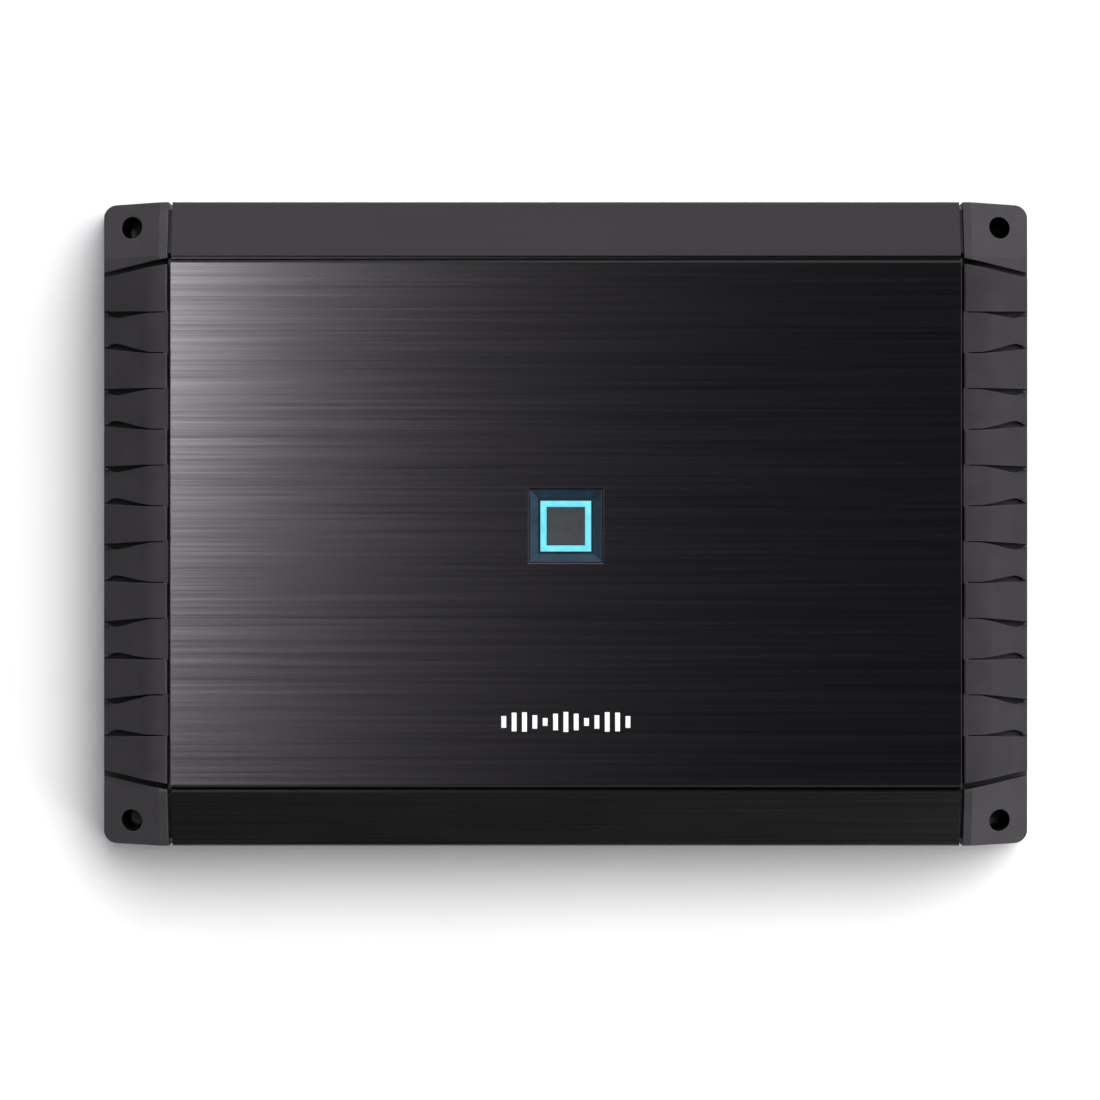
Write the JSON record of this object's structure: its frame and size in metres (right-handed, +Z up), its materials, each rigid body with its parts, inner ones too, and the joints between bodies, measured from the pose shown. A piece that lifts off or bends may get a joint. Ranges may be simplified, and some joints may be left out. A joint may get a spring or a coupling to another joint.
{
  "type": "car amplifier",
  "caption": "Low flat black car audio amplifier: brushed top plate with a lit square window, sloped shoulders, ribbed end caps and corner mounting feet.",
  "frame": {"origin": "centre of the rectangle that the four feet stand on, at the mounting surface", "axes": "+X along the long side, +Y towards the power and speaker terminals, +Z up out of the mounting surface"},
  "size_m": [0.293, 0.2, 0.052],
  "materials": {
    "heatsink_black": "satin black anodised extrusion",
    "plate_black": "black anodised, brushed along its length, with a satin lacquer",
    "mark_white": "white filled engraving",
    "bezel_black": "gloss black moulding",
    "ring_cyan": "frosted clear acrylic, lit cyan",
    "window_dark": "dark smoked acrylic",
    "sheet_black": "black powder coat on steel sheet",
    "cap_black": "satin moulded polymer",
    "foot_black": "fine grained moulded polymer",
    "zinc_steel": "zinc plated steel",
    "screw_black": "black zinc plated steel",
    "housing_black": "moulded connector housing",
    "nickel": "bright nickel plate",
    "gold": "gold flash on brass",
    "lens_clear": "diffuse lens",
    "tinned_brass": "tinned brass",
    "board_green": "solder masked glass laminate",
    "package_black": "moulded semiconductor package",
    "pad_grey": "filled silicone sheet",
    "spring_steel": "spring steel",
    "ferrite": "sintered ferrite",
    "copper": "enamelled copper wire",
    "can_black": "sleeved capacitor can",
    "lead_grey": "sheathed lead",
    "insulator_white": "white moulded insulator",
    "insulator_red": "red moulded insulator",
    "knob_black": "moulded knob",
    "slider_black": "moulded slider",
    "fuse_green": "translucent fuse body",
    "fuse_metal": "tinned zinc alloy"
  },
  "bodies": {
    "casing": {"heatsink": "heatsink_black", "top_plate": "plate_black", "plate_mark": "mark_white", "window_bezel": "bezel_black", "light_guide": "ring_cyan", "window_centre": "window_dark", "end_plates": "sheet_black", "end_cap_left": "cap_black", "end_cap_right": "cap_black", "feet_left": "foot_black", "feet_right": "foot_black", "foot_sleeves": "zinc_steel", "base_plate": "sheet_black", "front_panel": "sheet_black", "rear_panel": "sheet_black", "casing_screws": "screw_black", "input_jack_body": "housing_black", "input_jack_shells": "nickel", "input_jack_contacts": "gold", "pot_bodies": "housing_black", "switch_bodies": "housing_black", "remote_jack": "housing_black", "status_lens": "lens_clear", "terminal_block": "housing_black", "terminal_contacts": "tinned_brass", "fuse_holder": "housing_black", "main_board": "board_green", "board_fixings": "zinc_steel", "power_transistors": "package_black", "thermal_pads": "pad_grey", "transistor_clamps": "spring_steel", "transformer_core": "ferrite", "transformer_winding": "copper", "output_inductors": "ferrite", "capacitors": "can_black", "control_chips": "package_black", "indicator_board": "board_green", "indicator_lead": "lead_grey", "jack_insulator_left": "insulator_white", "jack_insulator_right": "insulator_red"},
    "gain_knob": {"gain_knob": "knob_black"},
    "lowpass_knob": {"lowpass_knob": "knob_black"},
    "subsonic_knob": {"subsonic_knob": "knob_black"},
    "bass_boost_knob": {"bass_boost_knob": "knob_black"},
    "level_switch_slider": {"level_switch_slider": "slider_black"},
    "phase_switch_slider": {"phase_switch_slider": "slider_black"},
    "ground_terminal_saddle": {"ground_terminal_saddle": "zinc_steel"},
    "ground_terminal_screw": {"ground_terminal_screw": "zinc_steel"},
    "remote_terminal_saddle": {"remote_terminal_saddle": "zinc_steel"},
    "remote_terminal_screw": {"remote_terminal_screw": "zinc_steel"},
    "battery_terminal_saddle": {"battery_terminal_saddle": "zinc_steel"},
    "battery_terminal_screw": {"battery_terminal_screw": "zinc_steel"},
    "speaker_minus_terminal_saddle": {"speaker_minus_terminal_saddle": "zinc_steel"},
    "speaker_minus_terminal_screw": {"speaker_minus_terminal_screw": "zinc_steel"},
    "speaker_plus_terminal_saddle": {"speaker_plus_terminal_saddle": "zinc_steel"},
    "speaker_plus_terminal_screw": {"speaker_plus_terminal_screw": "zinc_steel"},
    "fuse_left": {"fuse_body_left": "fuse_green", "fuse_blades_left": "fuse_metal"},
    "fuse_right": {"fuse_body_right": "fuse_green", "fuse_blades_right": "fuse_metal"}
  },
  "joints": [
    {"name": "gain_turn", "type": "hinge", "parent": "casing", "child": "gain_knob", "pos_m": [-0.034, -0.095, 0.024], "axis": [0, -1, 0], "range_deg": [-140, 140]},
    {"name": "lowpass_turn", "type": "hinge", "parent": "casing", "child": "lowpass_knob", "pos_m": [-0.012, -0.095, 0.024], "axis": [0, -1, 0], "range_deg": [-140, 140]},
    {"name": "subsonic_turn", "type": "hinge", "parent": "casing", "child": "subsonic_knob", "pos_m": [0.01, -0.095, 0.024], "axis": [0, -1, 0], "range_deg": [-140, 140]},
    {"name": "bass_boost_turn", "type": "hinge", "parent": "casing", "child": "bass_boost_knob", "pos_m": [0.032, -0.095, 0.024], "axis": [0, -1, 0], "range_deg": [-140, 140]},
    {"name": "level_switch_slide", "type": "slide", "parent": "casing", "child": "level_switch_slider", "axis": [1, 0, 0], "range_m": [0, 0.005]},
    {"name": "phase_switch_slide", "type": "slide", "parent": "casing", "child": "phase_switch_slider", "axis": [1, 0, 0], "range_m": [0, 0.005]},
    {"name": "ground_saddle_slide", "type": "slide", "parent": "casing", "child": "ground_terminal_saddle", "axis": [0, 1, 0], "range_m": [0, 0.004]},
    {"name": "ground_screw_turn", "type": "hinge", "parent": "ground_terminal_saddle", "child": "ground_terminal_screw", "pos_m": [0.0015, 0.093, 0.0256], "axis": [0, 1, 0], "range_deg": [0, 1801]},
    {"name": "remote_saddle_slide", "type": "slide", "parent": "casing", "child": "remote_terminal_saddle", "axis": [0, 1, 0], "range_m": [0, 0.0035]},
    {"name": "remote_screw_turn", "type": "hinge", "parent": "remote_terminal_saddle", "child": "remote_terminal_screw", "pos_m": [0.019, 0.093, 0.0256], "axis": [0, 1, 0], "range_deg": [0, 1801]},
    {"name": "battery_saddle_slide", "type": "slide", "parent": "casing", "child": "battery_terminal_saddle", "axis": [0, 1, 0], "range_m": [0, 0.004]},
    {"name": "battery_screw_turn", "type": "hinge", "parent": "battery_terminal_saddle", "child": "battery_terminal_screw", "pos_m": [0.0365, 0.093, 0.0256], "axis": [0, 1, 0], "range_deg": [0, 1801]},
    {"name": "speaker_minus_saddle_slide", "type": "slide", "parent": "casing", "child": "speaker_minus_terminal_saddle", "axis": [0, 1, 0], "range_m": [0, 0.0035]},
    {"name": "speaker_minus_screw_turn", "type": "hinge", "parent": "speaker_minus_terminal_saddle", "child": "speaker_minus_terminal_screw", "pos_m": [0.055, 0.093, 0.0256], "axis": [0, 1, 0], "range_deg": [0, 1801]},
    {"name": "speaker_plus_saddle_slide", "type": "slide", "parent": "casing", "child": "speaker_plus_terminal_saddle", "axis": [0, 1, 0], "range_m": [0, 0.0035]},
    {"name": "speaker_plus_screw_turn", "type": "hinge", "parent": "speaker_plus_terminal_saddle", "child": "speaker_plus_terminal_screw", "pos_m": [0.072, 0.093, 0.0256], "axis": [0, 1, 0], "range_deg": [0, 1801]},
    {"name": "fuse_left_pull", "type": "slide", "parent": "casing", "child": "fuse_left", "axis": [0, 1, 0], "range_m": [0, 0.012]},
    {"name": "fuse_right_pull", "type": "slide", "parent": "casing", "child": "fuse_right", "axis": [0, 1, 0], "range_m": [0, 0.012]}
  ],
  "couplings": [
    {"joint": "ground_screw_turn", "follows": "ground_saddle_slide", "rad_per_m": 7854},
    {"joint": "remote_screw_turn", "follows": "remote_saddle_slide", "rad_per_m": 8976},
    {"joint": "battery_screw_turn", "follows": "battery_saddle_slide", "rad_per_m": 7854},
    {"joint": "speaker_minus_screw_turn", "follows": "speaker_minus_saddle_slide", "rad_per_m": 8976},
    {"joint": "speaker_plus_screw_turn", "follows": "speaker_plus_saddle_slide", "rad_per_m": 8976}
  ]
}
